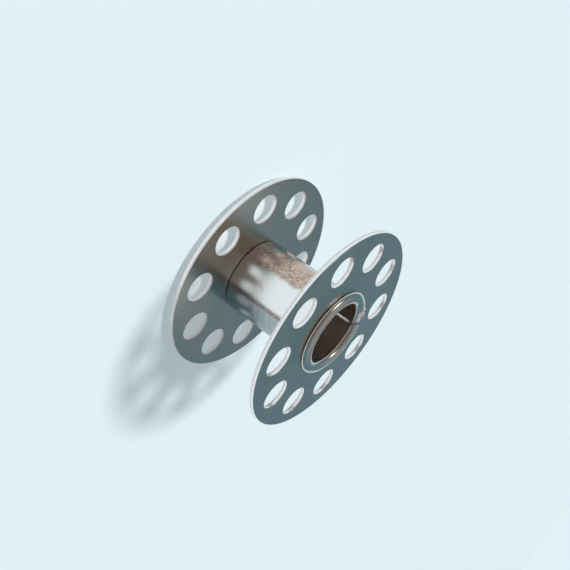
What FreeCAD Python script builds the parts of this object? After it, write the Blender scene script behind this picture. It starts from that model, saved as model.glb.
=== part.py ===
import FreeCAD, Part
import math
import os
from FreeCAD import Vector

# Two-flange sewing machine bobbin: a rolled core tube whose curled ends clamp two pierced flanges.
# All sizes are in millimetres and degrees. The bobbin stands on its lower end, its axis is +Z, and
# the origin is the centre of the flat land on the lower lip.

# Flanges, two equal discs blanked from sheet
flange_diameter = 20.3
flange_thickness = 0.45
flange_edge_roll = 0.07

# Ring of holes pierced in each flange
hole_count = 10
hole_diameter = 2.9
rim_width = 1.1
upper_flange_turn = 22.8
lower_flange_turn = 14.4

# Core tube, rolled from strip with thinner edges that pass through the flanges
winding_width = 9.3
bore_diameter = 6.1
neck_wall = 0.4
shoulder_step = 0.25
shoulder_break = 0.1
hub_clearance = 0.02

# Lips, the tube's ends curled outwards over the flanges
lip_height = 0.5
lip_overhang = 0.85
lip_seat_width = 0.45
lip_edge_gap = 0.06
throat_radius = 0.5

# Butt seam of the tube, and the splits that curling opened where the seam meets each lip
seam_angle = 270.0
seam_gap = 0.22
notch_torn_side = 0.64
notch_whole_side = 0.26
tear_offsets = (14.5, 20.0, 26.0)
tear_width = 0.12
tear_root_width = 0.03

# Torn corner of the upper lip, between the seam and the last tear, that stayed level and never curled down
tab_overhang = 0.95
tab_thickness = 0.24
tab_root_width = 0.22

# Levels and radii worked out from the sizes above
flange_radius = flange_diameter / 2
hole_radius = hole_diameter / 2
hole_circle_radius = flange_radius - rim_width - hole_radius
bore_radius = bore_diameter / 2
neck_radius = bore_radius + neck_wall
barrel_radius = neck_radius + shoulder_step
lip_radius = neck_radius + lip_overhang
lower_outer_face = lip_height
lower_inner_face = lower_outer_face + flange_thickness
upper_inner_face = lower_inner_face + winding_width
upper_outer_face = upper_inner_face + flange_thickness
total_height = upper_outer_face + lip_height
cut_overrun = 1.0


def polar(radius, angle, z=0.0):
    """Point at a radius and an angle in degrees about the bobbin's axis."""
    turn = math.radians(angle)
    return Vector(radius * math.cos(turn), radius * math.sin(turn), z)


def arc_edge(centre, radius, start, end):
    """Arc in the XZ plane, from one angle in degrees to another, measured from +X towards +Z."""
    def at(angle):
        turn = math.radians(angle)
        return centre + Vector(radius * math.cos(turn), 0, radius * math.sin(turn))
    return Part.Arc(at(start), at((start + end) / 2), at(end)).toBSpline().toShape()


def chain(edges):
    """Closed face in the XZ plane from edges in order, with straight runs across the gaps between them."""
    runs = []
    for edge, following in zip(edges, edges[1:] + edges[:1]):
        runs.append(edge)
        leave = edge.lastVertex(True).Point
        meet = following.firstVertex(True).Point
        if leave.distanceToPoint(meet) > 1e-7:
            runs.append(Part.LineSegment(leave, meet).toShape())
    return Part.Face(Part.Wire(runs))


def line(start, end):
    """Straight edge between two (radius, height) points of a section."""
    return Part.LineSegment(Vector(start[0], 0, start[1]), Vector(end[0], 0, end[1])).toShape()


def half_section():
    """Edges of the tube's section above the middle of the barrel, from its outer skin round to the bore."""
    middle = total_height / 2
    nose_radius = lip_height - lip_edge_gap
    lip_seat_radius = neck_radius + lip_seat_width
    return [
        line((barrel_radius, middle), (barrel_radius, upper_inner_face - shoulder_break)),
        line((barrel_radius - shoulder_break, upper_inner_face), (neck_radius, upper_inner_face)),
        line((neck_radius, upper_outer_face), (lip_seat_radius, upper_outer_face)),
        arc_edge(Vector(lip_radius - nose_radius, 0, upper_outer_face + lip_edge_gap), nose_radius, 0, 90),
        arc_edge(Vector(bore_radius + throat_radius, 0, total_height - throat_radius),
                 throat_radius, 90, 180),
        line((bore_radius, total_height - throat_radius), (bore_radius, middle)),
    ]


def lip_split(angle, inner_radius, inner_width, before, after):
    """Wedge through the upper lip that widens from an inner radius to the lip's edge, where it reaches two
    widths to either side of its angle."""
    half = inner_width / 2
    growth = 1 + cut_overrun / (lip_radius - inner_radius)
    reach = lip_radius + cut_overrun
    low, high = half + (before - half) * growth, half + (after - half) * growth
    corners = [Vector(inner_radius, -half, upper_outer_face), Vector(reach, -low, upper_outer_face),
               Vector(reach, high, upper_outer_face), Vector(inner_radius, half, upper_outer_face)]
    wedge = Part.Face(Part.makePolygon(corners + corners[:1])).extrude(Vector(0, 0, lip_height + cut_overrun))
    wedge.rotate(Vector(), Vector(0, 0, 1), angle)
    return wedge


def ring_sector(inner_radius, outer_radius, low, high, start, sweep):
    """Part of a flat ring between two radii and two heights, over a sweep of degrees from a start angle."""
    base = Vector(0, 0, low)
    sector = Part.makeCylinder(outer_radius, high - low, base, Vector(0, 0, 1), sweep)
    sector = sector.cut(Part.makeCylinder(inner_radius, high - low, base))
    sector.rotate(Vector(), Vector(0, 0, 1), start)
    return sector


def turned_over(shape):
    """Copy of a shape mirrored from the upper end of the bobbin to its lower end."""
    return shape.mirror(Vector(0, 0, total_height / 2), Vector(0, 0, 1))


def core_tube():
    """Strip rolled round to an open seam, with shoulders, necks and curled lips that split at the seam."""
    opening = math.degrees(seam_gap / barrel_radius)
    section = chain(half_section())
    section.rotate(Vector(), Vector(0, 0, 1), seam_angle + opening / 2)
    upper_half = section.revolve(Vector(), Vector(0, 0, 1), 360 - opening)
    tube = upper_half.fuse(turned_over(upper_half)).removeSplitter()
    tab_root_radius = bore_radius + throat_radius + tab_root_width
    tab_underside = total_height - tab_thickness
    curl = ring_sector(tab_root_radius, lip_radius + cut_overrun, upper_outer_face, tab_underside,
                       seam_angle, tear_offsets[-1])
    tab = ring_sector(tab_root_radius, neck_radius + tab_overhang, tab_underside, total_height,
                      seam_angle, tear_offsets[-1])
    tube = tube.cut(curl).fuse(tab).removeSplitter()
    notch = lip_split(seam_angle, bore_radius, seam_gap, notch_whole_side, notch_torn_side)
    tears = [lip_split(seam_angle + offset, bore_radius + throat_radius, tear_root_width,
                       tear_width / 2, tear_width / 2)
             for offset in tear_offsets]
    return tube.cut([notch, turned_over(notch)] + tears)


def flange(inner_face, outer_face, turn):
    """Flat disc with a hub hole and a ring of holes, its outer edges rolled over by the blanking punch."""
    low = min(inner_face, outer_face)
    hub_radius = neck_radius + hub_clearance
    disc = Part.makeCylinder(flange_radius, flange_thickness, Vector(0, 0, low))
    punches = [Part.makeCylinder(hub_radius, flange_thickness, Vector(0, 0, low))]
    for index in range(hole_count):
        place = polar(hole_circle_radius, turn + index * 360.0 / hole_count, low)
        punches.append(Part.makeCylinder(hole_radius, flange_thickness, place))
    pierced = disc.cut(punches)
    outer_edges = [edge for edge in pierced.Edges
                   if isinstance(edge.Curve, Part.Circle)
                   and abs(edge.Curve.Center.z - outer_face) < 1e-6
                   and abs(edge.Curve.Radius - hub_radius) > 1e-6]
    return pierced.makeChamfer(min(flange_edge_roll, flange_thickness / 3), outer_edges)


def main():
    pieces = {
        "core_tube": core_tube(),
        "upper_flange": flange(upper_inner_face, upper_outer_face, upper_flange_turn),
        "lower_flange": flange(lower_inner_face, lower_outer_face, lower_flange_turn),
    }
    os.makedirs("parts", exist_ok=True)
    for name, shape in pieces.items():
        solid = shape.Solids[0] if len(shape.Solids) == 1 else shape
        print(name, len(shape.Solids), "solid", solid.isValid(), round(shape.Volume, 3), "mm3", shape.BoundBox)
        solid.exportStep("parts/" + name + ".step")


main()
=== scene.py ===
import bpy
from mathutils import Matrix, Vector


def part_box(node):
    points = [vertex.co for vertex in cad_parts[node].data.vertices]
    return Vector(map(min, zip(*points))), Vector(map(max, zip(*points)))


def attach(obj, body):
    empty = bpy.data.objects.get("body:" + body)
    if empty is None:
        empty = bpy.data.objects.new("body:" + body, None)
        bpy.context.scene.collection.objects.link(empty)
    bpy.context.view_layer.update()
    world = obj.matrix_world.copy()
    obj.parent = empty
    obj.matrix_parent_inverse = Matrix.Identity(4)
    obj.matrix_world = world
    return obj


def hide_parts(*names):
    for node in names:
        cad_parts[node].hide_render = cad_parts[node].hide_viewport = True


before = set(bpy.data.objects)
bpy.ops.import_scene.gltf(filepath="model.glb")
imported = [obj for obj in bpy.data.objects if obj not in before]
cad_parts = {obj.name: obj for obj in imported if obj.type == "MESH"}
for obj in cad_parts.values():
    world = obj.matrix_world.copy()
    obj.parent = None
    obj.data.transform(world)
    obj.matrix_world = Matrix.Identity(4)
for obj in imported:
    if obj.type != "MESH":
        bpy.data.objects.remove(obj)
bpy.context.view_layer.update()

import math

import bmesh
import bpy
import numpy as np
from mathutils import Matrix, Vector

# A metal sewing bobbin that stands on its end: a rolled core tube whose curled lips clamp two pierced
# flanges. Shapes are worked out in millimetres, with +Z along the bobbin's axis, and stored in metres.
MM = 0.001

# Sizes of the flanges
FLANGE_RADIUS = 10.15
HOLE_COUNT = 10
HOLE_RADIUS = 1.45
HOLE_CIRCLE = 7.6
HUB_RADIUS = 3.47
OUTER_EDGE_ROLL = 0.075
INNER_EDGE_ROLL = 0.05
UPPER_TURN = 22.8
LOWER_TURN = 14.4

# Points along the rim, the hub and the straight sides of one hole's share of a flange
RIM_POINTS = 41
HUB_POINTS = 17
SIDE_POINTS = 25

# Shares of a flange's thickness, from its inner face, between which its walls show sheared metal
SHEAR_START = 0.02
SHEAR_END = 0.9

# Sizes of the core tube
BORE_RADIUS = 3.05
NECK_RADIUS = 3.45
BARREL_RADIUS = 3.7
SHOULDER_ROUND = 0.06
SHOULDER_SLIT = 0.055
LIP_RADIUS = 4.3
CREST_RADIUS = 3.62
CREST_WIDTH = 0.06
THROAT_DEPTH = 0.5
LIP_SEAT_RADIUS = 3.78
LIP_EDGE_GAP = 0.07

# Seam of the tube, and the V that it opens in the lips, wider on the torn side than on the whole one
SEAM_ANGLE = 270.0
SEAM_GAP = 0.22
NOTCH_TORN_HALF = 0.64
NOTCH_WHOLE_HALF = 0.26
NOTCH_REACH = 12.4
STRIP_EDGE_ROUND = 0.1

# Tears beside the seam, at angles from it: each draws the lip in towards its root by a share of the way
TEAR_ANGLES = (14.5, 20.0, 26.0)
TEAR_HALF_ANGLE = 0.9
TEAR_ROOT_RADIUS = 3.36
TEAR_DRAW = 0.93

# Columns of points round the tube, as angles: how far those of a tear reach to either side of it, how far off
# the columns between two tears begin, and where the evenly spaced ones begin and end
TEAR_SPAN = 1.3
TEAR_MARGIN = 1.55
EVEN_START = 27.7
EVEN_END = 347.0

# Torn corner of the upper lip: three tabs that never curled down, each twisted and sunk a little
TAB_START_ANGLE = 9.0
TAB_FADE_ANGLE = 0.5
TAB_RADIUS = 4.4
TAB_THICKNESS = 0.24
TAB_ROOT_RADIUS = 3.77
TAB_TWIST = 0.34
TAB_TWIST_START = 3.3
TAB_TWIST_WIDTH = 0.35
TAB_DIP = 0.1
TAB_DIP_RADIUS = 3.5
TAB_DIP_WIDTH = 0.2
TAB_SINK = 0.19
TAB_SINK_WIDTH = 0.3
TAB_LIFT_START = 0.02
TAB_LIFT_HEIGHT = 0.34
CURL_ROWS = slice(-24, -4)

# Marks of raw metal, and of dull metal darkened as painted shade: angles from the seam, and depths below the
# crest and into the bore
RAW_START_ANGLE = 4.0
RAW_END_MARGIN = 0.6
RAW_THROAT_DEPTH = 0.16
SEAM_EDGE_ANGLE = 1.0
DULL_AND_PAINTED_SHADE_DEPTH = 0.5

# Painted highlight: a bright strip along the barrel where its tarnish is left out, given by the angle of its
# middle, half its width and how much one side of it widens towards the upper flange. A painted dark
# reflection line and a painted warm brown reflection lie at angles from its middle.
PAINTED_HIGHLIGHT_ANGLE = 65.0
PAINTED_HIGHLIGHT_HALF = 22.0
PAINTED_HIGHLIGHT_FLARE = 7.0
# Painted dark reflection line along the barrel
PAINTED_DARK_LINE_ANGLE = 23.0
PAINTED_DARK_LINE_HALF = 5.5
# Painted warm brown reflection on the barrel
PAINTED_WARM_REFLECTION_ANGLE = -40.0
PAINTED_WARM_REFLECTION_HALF = 36.0

# Heights along the axis, read from the solids
UPPER_INNER, UPPER_OUTER = (corner.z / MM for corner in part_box("upper_flange"))
LOWER_OUTER, LOWER_INNER = (corner.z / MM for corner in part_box("lower_flange"))
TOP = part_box("core_tube")[1].z / MM
MIDDLE = TOP / 2

# Slack for comparing heights
HAIR = 1e-6

# In metres: points closer than the first are merged, and edges shorter than the second are taken out
MERGE_DISTANCE = 4e-7
NO_LENGTH = 1e-8


# Meshes

def quads_of(grid):
    """Four corner numbers of each cell of a grid, row by row."""
    rows, columns = grid.shape[:2]
    number = np.arange(rows * columns).reshape(rows, columns)
    corners = [number[:-1, :-1], number[1:, :-1], number[1:, 1:], number[:-1, 1:]]
    return np.stack(corners, axis=-1).reshape(-1, 4)


def make_piece(name, patches, node, material):
    """Closed piece from patches, each a grid of points with named marks: borders that meet are merged,
    and the faces are turned outwards."""
    points = np.concatenate([grid.reshape(-1, 3) for grid, marks in patches]) * MM
    starts = np.cumsum([0] + [grid.shape[0] * grid.shape[1] for grid, marks in patches[:-1]])
    quads = np.concatenate([quads_of(grid) + start for (grid, marks), start in zip(patches, starts)])
    mesh = bpy.data.meshes.new(name)
    mesh.from_pydata(points, [], quads)
    for mark in sorted(patches[0][1]):
        values = np.concatenate([np.broadcast_to(marks[mark], grid.shape[:2]).reshape(-1)
                                 for grid, marks in patches]).astype(np.float32)
        mesh.attributes.new(mark, "FLOAT", "POINT").data.foreach_set("value", values)
    body = bmesh.new()
    body.from_mesh(mesh)
    bmesh.ops.remove_doubles(body, verts=body.verts, dist=MERGE_DISTANCE)
    bmesh.ops.dissolve_degenerate(body, edges=body.edges, dist=NO_LENGTH)
    bmesh.ops.recalc_face_normals(body, faces=body.faces)
    body.to_mesh(mesh)
    body.free()
    mesh.polygons.foreach_set("use_smooth", np.ones(len(mesh.polygons), bool))
    piece = bpy.data.objects.new(name, mesh)
    bpy.context.scene.collection.objects.link(piece)
    piece.data.materials.append(material)
    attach(piece, "root")
    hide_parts(node)
    return piece


def polar(radius, angle):
    """Points at radii and angles in degrees about the axis, as x and y in a last dimension."""
    turn = np.radians(angle)
    return np.stack([radius * np.cos(turn), radius * np.sin(turn)], axis=-1)


def raised(plan, z):
    """Plan points lifted to heights z, as x, y and z in the last dimension."""
    return np.concatenate([plan, np.broadcast_to(z, plan.shape[:-1])[..., None]], axis=-1)


# Flanges

def edge_profile(inner_face, outer_face):
    """Section of a sheared wall from the inner face to the outer one: how far each point lies back from
    the wall, and its height. Both corners are quarter circles, the outer one larger."""
    up = np.sign(outer_face - inner_face)
    inner_turn = np.linspace(0, np.pi / 2, 5)
    outer_turn = np.linspace(0, np.pi / 2, 8)
    wall = np.linspace(inner_face + up * INNER_EDGE_ROLL, outer_face - up * OUTER_EDGE_ROLL, 6)[1:-1]
    inset = np.concatenate([INNER_EDGE_ROLL * (1 - np.sin(inner_turn)), np.zeros(len(wall)),
                            OUTER_EDGE_ROLL * (1 - np.cos(outer_turn))])
    heights = np.concatenate([inner_face + up * INNER_EDGE_ROLL * (1 - np.cos(inner_turn)), wall,
                              outer_face - up * OUTER_EDGE_ROLL * (1 - np.sin(outer_turn))])
    return inset, heights


def sector_border(rim_radius):
    """Border of one hole's share of a flange, as plan points about the sector's own +X axis: the rim's arc,
    a straight side, the hub's arc and the other side, in order and closed."""
    half = 180.0 / HOLE_COUNT
    rim = polar(rim_radius, np.linspace(-half, half, RIM_POINTS))
    hub = polar(HUB_RADIUS, np.linspace(half, -half, HUB_POINTS))
    share = np.linspace(0, 1, SIDE_POINTS)[:, None]
    side_in = rim[-1] + (hub[0] - rim[-1]) * share
    side_out = hub[-1] + (rim[0] - hub[-1]) * share
    return np.concatenate([rim, side_in[1:], hub[1:], side_out[1:]])


def flange_patches(inner_face, outer_face, turn):
    """Patches of a flange. Each face runs in straight lines from a hole's edge to the border of its sector;
    the hole's wall and the rim carry the edge section round their circles, and the hub's wall is straight."""
    inset, heights = edge_profile(inner_face, outer_face)
    depth = (heights - inner_face) / (outer_face - inner_face)
    share = np.array([0, 0.01, 0.04, 0.1, 0.2, 0.35, 0.5, 0.65, 0.8, 0.9, 0.96, 0.99, 1.0])[:, None, None]
    centre = np.array([HOLE_CIRCLE, 0.0])
    patches = []
    for face, roll in ((inner_face, INNER_EDGE_ROLL), (outer_face, OUTER_EDGE_ROLL)):
        border = sector_border(FLANGE_RADIUS - roll)
        ray = border - centre
        ray /= np.linalg.norm(ray, axis=-1, keepdims=True)
        start = centre + ray * (HOLE_RADIUS + roll)
        plan = start + (border - start) * share
        patches.append((raised(plan, face), {"sheared": 0.0, "depth": float(face == outer_face)}))
    ray_in = sector_border(FLANGE_RADIUS - INNER_EDGE_ROLL) - centre
    ray_out = sector_border(FLANGE_RADIUS - OUTER_EDGE_ROLL) - centre
    mix = depth[:, None, None]
    ray = ray_in * (1 - mix) + ray_out * mix
    ray /= np.linalg.norm(ray, axis=-1, keepdims=True)
    wall = centre + ray * (HOLE_RADIUS + inset)[:, None, None]
    sheared = np.where((depth > SHEAR_START) & (depth < SHEAR_END), 1.0, 0.0)
    walled = {"sheared": sheared[:, None], "depth": depth[:, None]}
    patches.append((raised(wall, heights[:, None]), walled))
    half = 180.0 / HOLE_COUNT
    rim = polar((FLANGE_RADIUS - inset)[:, None], np.linspace(-half, half, RIM_POINTS)[None, :])
    patches.append((raised(rim, heights[:, None]), walled))
    hub = polar(HUB_RADIUS, np.linspace(half, -half, HUB_POINTS))
    patches.append((raised(np.stack([hub, hub]), np.array([[inner_face], [outer_face]])),
                    {"sheared": 1.0, "depth": 0.5}))
    turned = []
    for index in range(HOLE_COUNT):
        angle = math.radians(turn + index * 360.0 / HOLE_COUNT)
        along, across = math.cos(angle), math.sin(angle)
        spin = np.array([[along, across, 0], [-across, along, 0], [0, 0, 1]])
        turned += [(grid @ spin, marks) for grid, marks in patches]
    return turned


# Core tube

def arc(centre, across, up, start, end, count):
    """Section points on an ellipse with two half widths, from one angle in degrees to another, as (radius,
    height) rows without the first."""
    turn = np.radians(np.linspace(start, end, count + 1))[1:]
    return np.stack([centre[0] + across * np.cos(turn), centre[1] + up * np.sin(turn)], axis=-1)


def run(start, end, count):
    """Section points along a straight run, without its first point."""
    return np.linspace(start, end, count + 1)[1:]


def tube_section():
    """The tube's section as two chains of (radius, height) points with as many points each, from the crest of
    the lower lip to the crest of the upper one: its skin, then its bore. A lip is two quarter ellipses that
    meet in a narrow flat crest, one down to its outer edge and one down into the bore."""
    edge = UPPER_OUTER + LIP_EDGE_GAP
    crest_out, crest_in = CREST_RADIUS + CREST_WIDTH / 2, CREST_RADIUS - CREST_WIDTH / 2
    barrel_end = UPPER_INNER - SHOULDER_SLIT
    shoulder = (BARREL_RADIUS - SHOULDER_ROUND, barrel_end - SHOULDER_ROUND)
    throat = TOP - THROAT_DEPTH
    skin_half = np.concatenate([
        run((BARREL_RADIUS, MIDDLE), (BARREL_RADIUS, shoulder[1]), 12),
        arc(shoulder, SHOULDER_ROUND, SHOULDER_ROUND, 0, 90, 5),
        run((shoulder[0], barrel_end), (NECK_RADIUS, barrel_end), 2),
        run((NECK_RADIUS, barrel_end), (NECK_RADIUS, UPPER_OUTER), 3),
        run((NECK_RADIUS, UPPER_OUTER), (LIP_SEAT_RADIUS, UPPER_OUTER), 3),
        run((LIP_SEAT_RADIUS, UPPER_OUTER), (LIP_RADIUS, edge), 3),
        arc((crest_out, edge), LIP_RADIUS - crest_out, TOP - edge, 0, 90, 19),
        run((crest_out, TOP), (CREST_RADIUS, TOP), 2)])
    bore_half = np.concatenate([
        run((BORE_RADIUS, MIDDLE), (BORE_RADIUS, barrel_end), 12),
        run((BORE_RADIUS, barrel_end), (BORE_RADIUS, throat), 12),
        arc((crest_in, throat), crest_in - BORE_RADIUS, THROAT_DEPTH, 180, 90, 23),
        run((crest_in, TOP), (CREST_RADIUS, TOP), 2)])
    chains = []
    for half, radius in ((skin_half, BARREL_RADIUS), (bore_half, BORE_RADIUS)):
        turned_over = half[::-1] * (1.0, -1.0) + (0.0, TOP)
        chains.append(np.concatenate([turned_over, [[radius, MIDDLE]], half]))
    return chains


def seam_columns():
    """Angles in degrees from the seam all the way round, close together beside the seam and across the
    tears."""
    beside = np.array([0, 0.15, 0.35, 0.6, 0.9, 1.3, 1.8, 2.5, 3.4, 4.5, 5.7, 7.0, 8.4, 9.8, 11.2,
                       NOTCH_REACH])
    torn = np.concatenate([np.linspace(tear - TEAR_SPAN, tear + TEAR_SPAN, 23) for tear in TEAR_ANGLES])
    between = np.concatenate([np.linspace(first + TEAR_MARGIN, last - TEAR_MARGIN, 6)
                              for first, last in zip(TEAR_ANGLES[:-1], TEAR_ANGLES[1:])])
    corner = np.sort(np.concatenate([torn, between]))
    even = np.linspace(EVEN_START, EVEN_END, 276)
    return np.concatenate([beside, corner, even, 360.0 - beside[::-1]])


def tears_at(columns):
    """How far each column lies in a tear, from 0 to 1: a bell with a flat top about each tear's angle."""
    bells = sum(np.exp(-((columns - tear) / TEAR_HALF_ANGLE) ** 4) for tear in TEAR_ANGLES)
    return np.clip(bells, 0, 1)


def place_in_tab(columns):
    """Where each column lies across its tab, from 0 at the side near the seam to 1 at the next tear. It is 0
    outside the tabs."""
    edges = (TAB_START_ANGLE,) + TEAR_ANGLES
    return np.interp(columns, edges, np.arange(len(edges))) % 1.0


def tab_section(count):
    """Section of a tab that never curled, from the flange's face out along its underside, round its edge and
    back to the crest, as (radius, height) points evenly spaced along the way."""
    underside = TOP - TAB_THICKNESS
    corners = np.array([(LIP_SEAT_RADIUS - 0.1, UPPER_OUTER), (TAB_ROOT_RADIUS, UPPER_OUTER + 0.1),
                        (TAB_ROOT_RADIUS + 0.02, underside), (TAB_RADIUS - 0.02, underside),
                        (TAB_RADIUS, underside + 0.03), (TAB_RADIUS, TOP - 0.05),
                        (TAB_RADIUS - 0.05, TOP - 0.01), (CREST_RADIUS + 0.22, TOP - 0.02)])
    way = np.concatenate([[0], np.cumsum(np.linalg.norm(np.diff(corners, axis=0), axis=1))])
    stations = np.linspace(0, way[-1], count)
    return np.stack([np.interp(stations, way, corners[:, axis]) for axis in (0, 1)], axis=-1)


def swept(chain, columns, is_skin):
    """Grid of points that carries a chain of the section round from one side of the seam to the other.
    Columns beside the seam are squeezed to leave its gap, which widens with radius into a V in the lips, and
    the wall's corners there are quarter circles. Up to the last tear the upper lip's skin takes the tabs'
    section, each tear draws the lip in towards its root, and each tab is turned about its own length and sunk
    towards its tip."""
    radius = np.repeat(chain[:, :1], len(columns), axis=1)
    height = np.repeat(chain[:, 1:], len(columns), axis=1)
    upper_lip = height > UPPER_OUTER - HAIR
    in_lip = upper_lip | (height < LOWER_OUTER + HAIR)

    flare = np.clip((radius - BORE_RADIUS) / (LIP_RADIUS - BORE_RADIUS), 0, 1)
    widest = np.where(columns < 180.0, NOTCH_TORN_HALF, NOTCH_WHOLE_HALF)[None, :]
    half_gap = SEAM_GAP / 2 + np.where(in_lip, flare, 0.0) * (widest - SEAM_GAP / 2)
    gap = np.degrees(np.arcsin(half_gap / radius))
    after = columns[None, :]
    before = 360.0 - after
    angle = np.where(after < NOTCH_REACH, gap + after * (NOTCH_REACH - gap) / NOTCH_REACH, after)
    angle = np.where(before < NOTCH_REACH, 360.0 - gap - before * (NOTCH_REACH - gap) / NOTCH_REACH, angle)

    from_gap = np.radians(np.minimum(angle, 360.0 - angle) - gap) * radius
    into_round = np.clip(STRIP_EDGE_ROUND - from_gap, 0, STRIP_EDGE_ROUND)
    corner = STRIP_EDGE_ROUND - np.sqrt(STRIP_EDGE_ROUND ** 2 - into_round ** 2)
    tangent = np.gradient(chain, axis=0)
    tangent /= np.linalg.norm(tangent, axis=1, keepdims=True) * (1 if is_skin else -1)

    torn = np.clip((TEAR_ANGLES[-1] + TAB_FADE_ANGLE - columns) / TAB_FADE_ANGLE, 0, 1)
    if is_skin:
        tab = tab_section(len(radius[CURL_ROWS]))
        radius[CURL_ROWS] += (tab[:, :1] - radius[CURL_ROWS]) * torn
        height[CURL_ROWS] += (tab[:, 1:] - height[CURL_ROWS]) * torn
    drawn_in = TEAR_ROOT_RADIUS + (radius - TEAR_ROOT_RADIUS) * (1 - TEAR_DRAW * tears_at(columns))
    radius = np.where(upper_lip & (radius > TEAR_ROOT_RADIUS), drawn_in, radius)
    twist = (TAB_TWIST * (0.5 - place_in_tab(columns))
             * np.clip((radius - TAB_TWIST_START) / TAB_TWIST_WIDTH, 0, 1))
    sunk = (TAB_DIP * np.exp(-((radius - TAB_DIP_RADIUS) / TAB_DIP_WIDTH) ** 2)
            + TAB_SINK * np.clip((radius - TAB_DIP_RADIUS) / TAB_SINK_WIDTH, 0, 1))
    lift = np.clip((height - UPPER_OUTER - TAB_LIFT_START) / TAB_LIFT_HEIGHT, 0, 1)
    height = height + torn * (twist - sunk) * lift

    radius = radius - corner * tangent[:, 1:]
    height = height + corner * tangent[:, :1]
    return raised(polar(radius, SEAM_ANGLE + angle), height)


def barrel_marks(heights, columns):
    """Marks of the barrel's tarnish and painted light: where the barrel is, how strong the tarnish is, as
    three waves round the barrel that fade out across the painted highlight strip, and bell curves about the
    painted warm brown reflection and about the painted dark reflection line, which is strongest at the top."""
    barrel = ((heights > LOWER_INNER) & (heights < UPPER_INNER)).astype(float)[:, None]
    level = ((heights - MIDDLE) / (UPPER_INNER - MIDDLE))[:, None]
    # The bright strip where the tarnish fades out is a painted highlight.
    from_painted_highlight = ((SEAM_ANGLE + columns - PAINTED_HIGHLIGHT_ANGLE + 180.0) % 360.0 - 180.0)[None, :]
    half = PAINTED_HIGHLIGHT_HALF + np.where(from_painted_highlight < 0, PAINTED_HIGHLIGHT_FLARE * level, 0.0)
    off_painted_highlight = 1 - np.exp(-(from_painted_highlight / half) ** 4)
    return {"barrel": barrel,
            "band": (0.65 - 0.35 * np.cos(np.radians(3 * from_painted_highlight))) * off_painted_highlight,
            "brown": np.exp(-((from_painted_highlight - PAINTED_WARM_REFLECTION_ANGLE) / PAINTED_WARM_REFLECTION_HALF) ** 2),
            "stain": barrel * (0.8 + 0.2 * level) * np.exp(-((from_painted_highlight - PAINTED_DARK_LINE_ANGLE) / PAINTED_DARK_LINE_HALF) ** 2)}


def tube_patches():
    """Patches of the core tube: its skin, its bore, and two caps that run in straight lines from the bore to
    the skin on either side of the seam. The marks give the barrel's tarnish and painted light, the dull
    inside with its painted shade, the raw metal and the place across a torn tab."""
    skin, bore = tube_section()
    columns = seam_columns()
    tears = tears_at(columns)
    skin_grid, bore_grid = swept(skin, columns, True), swept(bore, columns, False)

    over_flange = skin[:, 1:] > UPPER_OUTER + HAIR
    near_crest = bore[:, 1:] > TOP - RAW_THROAT_DEPTH
    between_flanges = (bore[:, 1:] > LOWER_INNER) & (bore[:, 1:] < UPPER_INNER)
    in_tabs = ((columns > RAW_START_ANGLE) & (columns < TEAR_ANGLES[-1] + RAW_END_MARGIN))[None, :]
    at_seam = (np.minimum(columns, 360.0 - columns) < SEAM_EDGE_ANGLE)[None, :]
    down_bore = np.minimum(bore[:, 1] - LOWER_OUTER, UPPER_OUTER - bore[:, 1])
    torn_throat = np.where(in_tabs & near_crest, 1.0 - tears, 0.0)

    tarnish_and_painted_light_marks = barrel_marks(skin[:, 1], columns)
    plain = {"barrel": 0.0, "band": 1.0, "brown": 0.0, "stain": 0.0, "across": 1.0}
    # The tears' slits in the upper lip are darkened as painted shade.
    patches = [(skin_grid, {**tarnish_and_painted_light_marks,
                            "inside": np.where(over_flange, tears, 0.0),
                            "raw": np.where(in_tabs & over_flange, 1.0 - tears, 0.0),
                            "across": np.maximum(tarnish_and_painted_light_marks["barrel"], place_in_tab(columns))}),
               (bore_grid, {**plain,
                            "inside": np.clip(down_bore / DULL_AND_PAINTED_SHADE_DEPTH, 0, 1)[:, None],
                            "raw": np.maximum(at_seam & between_flanges, torn_throat)})]
    share = np.linspace(0, 1, 5)[None, :, None]
    for column in (0, -1):
        wall = (skin_grid[:, column] - bore_grid[:, column])[:, None]
        cap = bore_grid[:, None, column] + wall * share
        # The seam gap's walls in the lips and flanges are darkened as painted shade; between the flanges they
        # are raw metal.
        patches.append((cap, {**plain, "inside": 1.0 - between_flanges, "raw": 1.0 * between_flanges}))
    return patches


# Materials

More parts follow.
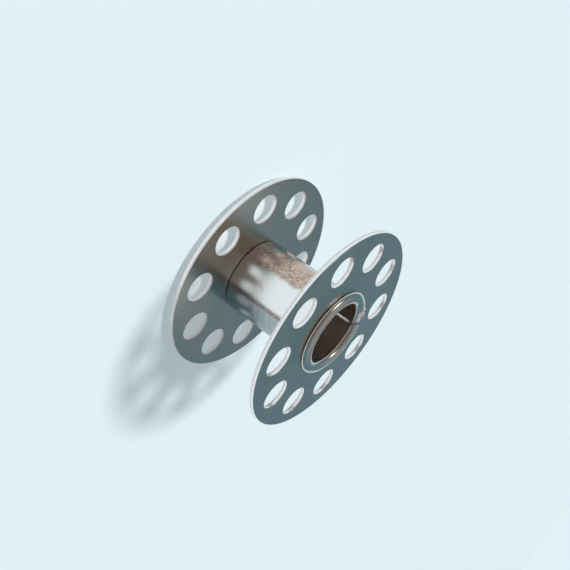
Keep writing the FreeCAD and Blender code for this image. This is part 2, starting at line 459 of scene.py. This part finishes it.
class Wire:
    """An output socket in a node tree, whose arithmetic adds Math nodes."""

    def __init__(self, tree, socket=None):
        self.tree = tree
        self.socket = socket

    def node(self, kind, settings=None, sockets=None, out=0):
        """A new node of any type: its settings first, then its sockets' values or links. Gives its output."""
        made = self.tree.nodes.new(kind)
        for key, value in (settings or {}).items():
            setattr(made, key, value)
        for key, value in (sockets or {}).items():
            if isinstance(value, Wire):
                self.tree.links.new(value.socket, made.inputs[key])
            else:
                made.inputs[key].default_value = value
        return Wire(self.tree, made.outputs[out])

    def maths(self, operation, *values):
        """A Math node on values or wires."""
        return self.node("ShaderNodeMath", {"operation": operation}, dict(enumerate(values)))

    def __add__(self, other):
        return self.maths("ADD", self, other)

    def __radd__(self, other):
        return self.maths("ADD", other, self)

    def __sub__(self, other):
        return self.maths("SUBTRACT", self, other)

    def __rsub__(self, other):
        return self.maths("SUBTRACT", other, self)

    def __mul__(self, other):
        return self.maths("MULTIPLY", self, other)

    def __rmul__(self, other):
        return self.maths("MULTIPLY", other, self)

    def step(self, low, high):
        """Smooth rise from 0 to 1 between two values."""
        return self.node("ShaderNodeMapRange", {"interpolation_type": "SMOOTHSTEP"},
                         {"Value": self, "From Min": low, "From Max": high})

    def tint(self, first, second):
        """Colour that goes from the first to the second as this value goes from 0 to 1."""
        return self.node("ShaderNodeMix", {"data_type": "RGBA"}, {0: self, 6: first, 7: second}, out=2)

    def vector(self, operation, other, out=0):
        """A Vector Math node on this vector and another."""
        return self.node("ShaderNodeVectorMath", {"operation": operation}, {0: self, 1: other}, out)


def colour(red, green, blue):
    """A linear colour with full alpha."""
    return (red, green, blue, 1.0)


def finish_of(name, metallic):
    """A new material. Gives the material, a wire to build on and the node of its shader."""
    material = bpy.data.materials.new(name)
    material.use_nodes = True
    tree = material.node_tree
    shader = tree.nodes["Principled BSDF"]
    shader.inputs["Metallic"].default_value = metallic
    return material, Wire(tree), shader


def plug(shader, **wires):
    """Links wires into a shader's sockets, named with underscores for spaces."""
    for key, wire in wires.items():
        wire.tree.links.new(wire.socket, shader.inputs[key.replace("_", " ")])


def mark_of(start, name):
    """The value of one of the piece's own marks."""
    return start.node("ShaderNodeAttribute", {"attribute_name": name}, out=2)


def mottling(start, place, size, detail=2.0):
    """Soft noise from 0 to 1 whose patches are about a size in millimetres."""
    return start.node("ShaderNodeTexNoise", {}, {"Vector": place, "Scale": 1 / (size * MM), "Detail": detail})


def relief(start, depth, height):
    """A normal that follows a height from 0 to 1, as deep as a size in millimetres."""
    return start.node("ShaderNodeBump", {}, {"Strength": 1.0, "Distance": depth * MM, "Height": height})


def bright_nickel():
    """Smooth plated sheet: faintly mottled and rubbed on the faces. Its sheared walls are bright towards the
    outer face, and grainy where the metal broke towards the inner one."""
    material, start, shader = finish_of("bright_nickel", 1.0)
    place = start.node("ShaderNodeTexCoord", out=3)
    sheared, depth = mark_of(start, "sheared"), mark_of(start, "depth")
    cloud = mottling(start, place, 2.6)
    rub = mottling(start, place, 0.35, 3.0)
    grain = mottling(start, place, 0.16, 3.0)
    broken = sheared * (1 - (depth + (grain - 0.5) * 0.5).step(0.30, 0.52))
    face = cloud.tint(colour(0.62, 0.58, 0.53), colour(0.70, 0.66, 0.60))
    fracture = grain.tint(colour(0.70, 0.52, 0.49), colour(0.96, 0.88, 0.85))
    wall = broken.tint(colour(0.95, 0.92, 0.89), fracture)
    plug(shader,
         Base_Color=sheared.tint(face, wall),
         Roughness=0.21 + cloud * 0.06 + rub * 0.03 + broken * grain * 0.2,
         Normal=relief(start, 0.004, cloud * 0.8 + rub * 0.05 + broken * grain * 1.6))
    return material


def satin_nickel():
    """Plated strip: a sparkling satin grain on the barrel, a painted highlight along one strip of it, grey
    tarnish round it that is partly painted shade, a painted warm brown reflection and one painted dark
    reflection line;
    smooth on the lips, dull and darker as painted shade down the bore, in the tears and in the seam's gap,
    and pale raw metal along the seam and where the lip tore, with painted shade on one side of each tab."""
    material, start, shader = finish_of("satin_nickel", 1.0)
    place = start.node("ShaderNodeTexCoord", out=3)
    barrel, band = mark_of(start, "barrel"), mark_of(start, "band")
    painted_warm_reflection_zone, stain = mark_of(start, "brown"), mark_of(start, "stain")
    inside, raw, across = mark_of(start, "inside"), mark_of(start, "raw"), mark_of(start, "across")
    drawn = place.vector("MULTIPLY", (1.0, 1.0, 0.5))
    cloud = mottling(start, place, 1.8)
    grain = mottling(start, drawn, 0.10, 5.0)
    fine = mottling(start, drawn, 0.05, 1.0)
    speck = grain.step(0.30, 0.70)

    tarnish_off_painted_highlight = (band + (cloud - 0.5) * 0.9 + (grain - 0.5) * 0.5).step(0.14, 0.50)
    painted_warm_reflection_mask = (painted_warm_reflection_zone + (cloud - 0.5) * 0.9 + (grain - 0.5) * 0.6).step(0.1, 0.7)
    # Grey tarnish round the barrel, which beside the painted highlight also stands as painted shade
    grey_tarnish_and_painted_shade = speck.tint(colour(0.37, 0.38, 0.375), colour(0.64, 0.66, 0.65))
    # Brown colour with grain specks: a painted warm reflection
    brown = speck.tint(colour(0.36, 0.21, 0.155), colour(1.0, 0.78, 0.66))
    # Where the tarnish stops, the bare near-white colour is a painted highlight.
    tarnish_and_painted_light = tarnish_off_painted_highlight.tint(colour(1.0, 0.945, 0.895), painted_warm_reflection_mask.tint(grey_tarnish_and_painted_shade, brown))
    # Painted dark reflection line along the barrel
    with_painted_dark_line = (stain * (0.7 + speck * 0.4)).step(0.15, 1.0).tint(tarnish_and_painted_light, colour(0.24, 0.14, 0.135))
    lip = cloud.tint(colour(0.82, 0.72, 0.645), colour(0.88, 0.78, 0.70))
    # Dull bore colour, darker down the bore as painted shade
    bore = cloud.tint(colour(0.54, 0.45, 0.39), colour(0.74, 0.63, 0.56))
    plated_with_painted_light = inside.tint(barrel.tint(lip, with_painted_dark_line), bore)
    pale = grain.tint(colour(0.94, 0.84, 0.81), colour(1.0, 0.97, 0.95))
    # The dark pinkish colour near one side of each tab is painted shade between the tabs.
    torn = across.step(0.08, 0.42).tint(colour(0.50, 0.28, 0.26), pale)
    bumps = barrel * (grain * 1.6 + fine * 0.4) + cloud * 0.2 + inside * grain * 0.3
    plug(shader,
         Base_Color=raw.tint(plated_with_painted_light, torn),
         Metallic=1 - raw * 0.5 - barrel * tarnish_off_painted_highlight * painted_warm_reflection_mask * 0.3,
         Roughness=0.17 + cloud * 0.06 + barrel * (grain * 0.10 - 0.02) + inside * 0.22 + raw * 0.12,
         Normal=relief(start, 0.006, bumps))
    return material


plate = bright_nickel()
strip = satin_nickel()
make_piece("core", tube_patches(), "core_tube", strip)
make_piece("upper_disc", flange_patches(UPPER_INNER, UPPER_OUTER, UPPER_TURN),
           "upper_flange", plate)
make_piece("lower_disc", flange_patches(LOWER_INNER, LOWER_OUTER, LOWER_TURN),
           "lower_flange", plate)


# Floor: pale and matt, with a glow that only the camera and the metal see

FLOOR_HALF = 20
FLOOR_COLOUR = colour(0.80, 0.90, 0.95)
FLOOR_GLOW = 0.3

floor_mesh = bpy.data.meshes.new("floor")
floor_corners = [(-FLOOR_HALF, -FLOOR_HALF, 0), (FLOOR_HALF, -FLOOR_HALF, 0),
                 (FLOOR_HALF, FLOOR_HALF, 0), (-FLOOR_HALF, FLOOR_HALF, 0)]
floor_mesh.from_pydata(floor_corners, [], [(0, 1, 2, 3)])
floor = bpy.data.objects.new("floor", floor_mesh)
bpy.context.scene.collection.objects.link(floor)
floor_material, floor_start, floor_shader = finish_of("pale_floor", 0.0)
floor_shader.inputs["Roughness"].default_value = 0.8
floor_shader.inputs["Specular IOR Level"].default_value = 0.2
floor_shader.inputs["Base Color"].default_value = FLOOR_COLOUR
floor_shader.inputs["Emission Strength"].default_value = FLOOR_GLOW
seen_by_camera = floor_start.node("ShaderNodeLightPath", out="Is Camera Ray")
seen_in_metal = floor_start.node("ShaderNodeLightPath", out="Is Glossy Ray")
seen_through = floor_start.node("ShaderNodeLightPath", out="Is Transmission Ray")
seen = seen_by_camera + seen_in_metal + seen_through
plug(floor_shader, Emission_Color=seen.tint(colour(0, 0, 0), FLOOR_COLOUR))
floor_mesh.materials.append(floor_material)


# Camera, at the photograph's place: its right and up directions give its roll

CAMERA_PLACE = Vector((34.19, 55.08, 34.40)) * MM
CAMERA_RIGHT = Vector((0.32266, -0.59415, 0.73681))
CAMERA_UP = Vector((0.82334, -0.20781, -0.52813))
CAMERA_LENS = 48.82

lens = bpy.data.cameras.new("camera")
lens.lens = CAMERA_LENS
lens.sensor_width = 36.0
lens.clip_start = 0.001
lens.clip_end = 100.0
camera = bpy.data.objects.new("camera", lens)
bpy.context.scene.collection.objects.link(camera)
camera_axes = Matrix((CAMERA_RIGHT, CAMERA_UP, CAMERA_RIGHT.cross(CAMERA_UP)))
camera.matrix_world = Matrix.Translation(CAMERA_PLACE) @ camera_axes.transposed().to_4x4()
bpy.context.scene.camera = camera


# Light

# Surround: pale at the horizon, cool beyond the bobbin, dim on the camera's side with a warm middle, and grey
# overhead towards the far side. A distant lamp shines from one small bright patch, which is all that the
# metal shows of it.
HORIZON = colour(0.77, 0.885, 0.94)
COOL = colour(0.096, 0.208, 0.268)
WARM = colour(0.14, 0.09, 0.078)
DIM = colour(0.15, 0.145, 0.14)
OVERHEAD = colour(0.30, 0.30, 0.30)
FAR_SIDE = (-0.515, -0.857, 0.0)
FAR_OVERHEAD = (-0.26, -0.43, 0.866)
KEY_COMPASS = math.radians(-26.0)
KEY_RISE = math.radians(53.0)
KEY_SIDE = Vector((math.cos(KEY_COMPASS) * math.cos(KEY_RISE), math.sin(KEY_COMPASS) * math.cos(KEY_RISE),
                   math.sin(KEY_RISE)))
KEY_PATCH = colour(2.3, 2.3, 2.25)
KEY_COLOUR = (1.0, 0.98, 0.96)
KEY_STRENGTH = 1.65
KEY_SPREAD = 14.0

world = bpy.data.worlds.new("surround")
bpy.context.scene.world = world
world.use_nodes = True
direction = Wire(world.node_tree).node("ShaderNodeTexCoord", out=0)
height = direction.node("ShaderNodeSeparateXYZ", {}, {"Vector": direction}, out=2)
beyond = direction.vector("DOT_PRODUCT", FAR_SIDE, out=1)
above = direction.vector("DOT_PRODUCT", FAR_OVERHEAD, out=1)
near_key = direction.vector("DOT_PRODUCT", KEY_SIDE, out=1)
near_side = beyond.step(-0.94, -0.76).tint(WARM, DIM)
sides = beyond.step(-0.45, 0.25).tint(near_side, COOL)
lower = height.step(0.10, 0.24).tint(HORIZON, sides)
upper = above.step(0.80, 0.95).tint(lower, OVERHEAD)
surround = near_key.step(0.980, 0.993).tint(upper, KEY_PATCH)
plug(world.node_tree.nodes["Background"], Color=surround)

key_lamp = bpy.data.lights.new("key_lamp", "SUN")
key_lamp.angle = math.radians(KEY_SPREAD)
key_lamp.energy = KEY_STRENGTH
key_lamp.color = KEY_COLOUR
key_holder = bpy.data.objects.new("key_lamp", key_lamp)
bpy.context.scene.collection.objects.link(key_holder)
key_holder.matrix_world = KEY_SIDE.to_track_quat("Z", "Y").to_matrix().to_4x4()
key_holder.visible_glossy = False

bpy.context.scene.view_settings.view_transform = "Standard"
